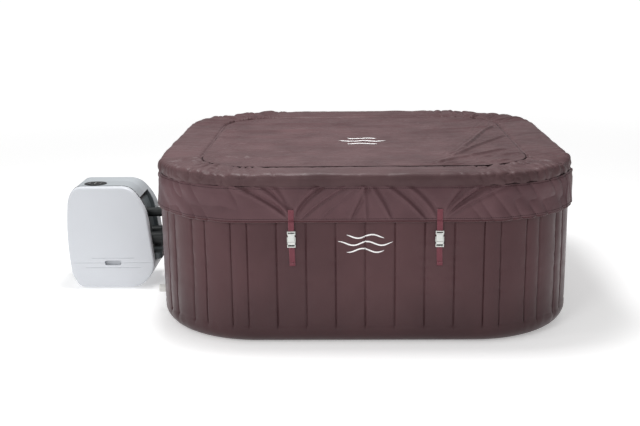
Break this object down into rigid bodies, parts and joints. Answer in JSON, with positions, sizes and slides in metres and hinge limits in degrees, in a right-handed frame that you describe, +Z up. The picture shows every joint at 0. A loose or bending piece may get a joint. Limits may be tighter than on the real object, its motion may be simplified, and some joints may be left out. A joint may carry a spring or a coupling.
{
  "type": "inflatable hot tub",
  "caption": "Square inflatable hot tub with ribbed walls, a buckled padded cover over an inflatable lid, and a control base that pumps, heats and blows air.",
  "frame": {"origin": "centre of the tub's base on the ground", "axes": "+Z up, -Y the tub's front side, -X the side that the control base stands on"},
  "size_m": [2.6225, 2.045, 0.817],
  "materials": {
    "wall_vinyl": "satin vinyl",
    "liner_vinyl": "satin vinyl",
    "cover_fabric": "matte coated fabric",
    "binding": "woven tape",
    "webbing": "woven webbing",
    "buckle_plastic": "moulded",
    "lid_vinyl": "satin vinyl",
    "casing_plastic": "satin moulded",
    "dark_plastic": "moulded",
    "panel_gloss": "gloss",
    "key_plastic": "moulded",
    "white_plastic": "moulded",
    "rubber": "matte",
    "steel": "brushed",
    "motor_metal": "painted",
    "filter_media": "pleated paper",
    "board": "printed board"
  },
  "bodies": {
    "tub": {"outer_wall": "wall_vinyl", "inner_wall": "liner_vinyl", "top_rim": "wall_vinyl", "bottom_rim": "wall_vinyl", "wall_webs": "liner_vinyl", "floor_sheet": "liner_vinyl", "bubble_duct": "liner_vinyl", "wall_port_fittings": "dark_plastic", "filter_housing": "white_plastic", "filter_cartridge": "filter_media", "return_grille": "white_plastic", "drain_valve_body": "white_plastic", "inflation_valve_body": "dark_plastic", "lower_straps": "webbing", "male_buckles": "buckle_plastic", "pump_lower_shell": "casing_plastic", "pump_front_shell": "casing_plastic", "pump_rear_shell": "casing_plastic", "pump_side_panel": "dark_plastic", "pump_top_cover": "casing_plastic", "control_panel": "panel_gloss", "display_lens": "panel_gloss", "grip_cup": "dark_plastic", "pump_volute": "dark_plastic", "pump_motor": "motor_metal", "heater_tube": "steel", "inner_pipes": "white_plastic", "blower_housing": "dark_plastic", "control_board": "board", "pump_couplings": "dark_plastic", "cable_gland": "dark_plastic", "pump_feet": "rubber", "shell_screws": "steel"},
    "cover": {"cover_skirt": "cover_fabric", "cover_band": "cover_fabric", "cover_panel": "cover_fabric", "hem_binding": "binding", "inflatable_lid": "lid_vinyl", "lid_valve_body": "lid_vinyl", "lid_pocket": "cover_fabric", "zipper_tape": "dark_plastic", "upper_straps": "webbing", "female_buckles": "buckle_plastic"},
    "lid_valve_cap": {"lid_valve_cap": "lid_vinyl"},
    "zipper_slider": {"zipper_slider": "steel"},
    "filter_cap": {"filter_cap": "white_plastic"},
    "drain_seal": {"drain_seal": "rubber"},
    "drain_cap": {"drain_cap": "white_plastic"},
    "inflation_valve_cap": {"inflation_valve_cap": "dark_plastic"},
    "impeller": {"impeller": "white_plastic"},
    "blower_fan": {"blower_fan": "dark_plastic"},
    "key_power": {"key_power": "key_plastic"},
    "key_filter": {"key_filter": "key_plastic"},
    "key_heat": {"key_heat": "key_plastic"},
    "key_bubbles": {"key_bubbles": "key_plastic"},
    "key_down": {"key_down": "key_plastic"},
    "key_up": {"key_up": "key_plastic"},
    "suction_nut": {"suction_nut": "dark_plastic"},
    "return_nut": {"return_nut": "dark_plastic"},
    "air_nut": {"air_nut": "dark_plastic"}
  },
  "joints": [
    {"name": "cover_lift", "type": "slide", "parent": "tub", "child": "cover", "axis": [0, 0, 1], "range_m": [0, 0.6]},
    {"name": "lid_valve_turn", "type": "hinge", "parent": "cover", "child": "lid_valve_cap", "pos_m": [0.56, -0.56, 0.705], "axis": [0, 0, 1], "continuous": true},
    {"name": "zip_slide", "type": "slide", "parent": "cover", "child": "zipper_slider", "axis": [1, 0, 0], "range_m": [0, 1.17]},
    {"name": "filter_cap_turn", "type": "hinge", "parent": "tub", "child": "filter_cap", "pos_m": [-0.61, -0.0675, 0.27], "axis": [-1, 0, 0], "range_deg": [0, 60]},
    {"name": "drain_seal_travel", "type": "slide", "parent": "tub", "child": "drain_seal", "axis": [-1, 0, 0], "range_m": [0, 0.009]},
    {"name": "drain_cap_turn", "type": "hinge", "parent": "drain_seal", "child": "drain_cap", "pos_m": [-1.04, -0.4725, 0.11], "axis": [-1, 0, 0], "range_deg": [0, 1080]},
    {"name": "inflation_cap_turn", "type": "hinge", "parent": "tub", "child": "inflation_valve_cap", "pos_m": [-1.02, -0.2025, 0.18], "axis": [-1, 0, 0], "continuous": true},
    {"name": "impeller_spin", "type": "hinge", "parent": "tub", "child": "impeller", "pos_m": [-1.3, -0.0675, 0.12], "axis": [-1, 0, 0], "continuous": true},
    {"name": "blower_spin", "type": "hinge", "parent": "tub", "child": "blower_fan", "pos_m": [-1.44, 0.03, 0.4], "axis": [-1, 0, 0], "continuous": true},
    {"name": "suction_nut_turn", "type": "hinge", "parent": "tub", "child": "suction_nut", "pos_m": [-1.06, -0.0675, 0.27], "axis": [-1, 0, 0], "continuous": true},
    {"name": "return_nut_turn", "type": "hinge", "parent": "tub", "child": "return_nut", "pos_m": [-1.06, 0.0675, 0.27], "axis": [-1, 0, 0], "continuous": true},
    {"name": "air_nut_turn", "type": "hinge", "parent": "tub", "child": "air_nut", "pos_m": [-1.06, 0, 0.4], "axis": [-1, 0, 0], "continuous": true},
    {"name": "key_power_press", "type": "slide", "parent": "tub", "child": "key_power", "axis": [0, 0, -1], "range_m": [0, 0.0008], "stiffness_N_per_m": 300, "springref_m": -0.001},
    {"name": "key_filter_press", "type": "slide", "parent": "tub", "child": "key_filter", "axis": [0, 0, -1], "range_m": [0, 0.0008], "stiffness_N_per_m": 300, "springref_m": -0.001},
    {"name": "key_heat_press", "type": "slide", "parent": "tub", "child": "key_heat", "axis": [0, 0, -1], "range_m": [0, 0.0008], "stiffness_N_per_m": 300, "springref_m": -0.001},
    {"name": "key_bubbles_press", "type": "slide", "parent": "tub", "child": "key_bubbles", "axis": [0, 0, -1], "range_m": [0, 0.0008], "stiffness_N_per_m": 300, "springref_m": -0.001},
    {"name": "key_down_press", "type": "slide", "parent": "tub", "child": "key_down", "axis": [0, 0, -1], "range_m": [0, 0.0008], "stiffness_N_per_m": 300, "springref_m": -0.001},
    {"name": "key_up_press", "type": "slide", "parent": "tub", "child": "key_up", "axis": [0, 0, -1], "range_m": [0, 0.0008], "stiffness_N_per_m": 300, "springref_m": -0.001}
  ],
  "couplings": [
    {"joint": "drain_seal_travel", "follows": "drain_cap_turn", "m_per_rad": 0.00047746}
  ]
}
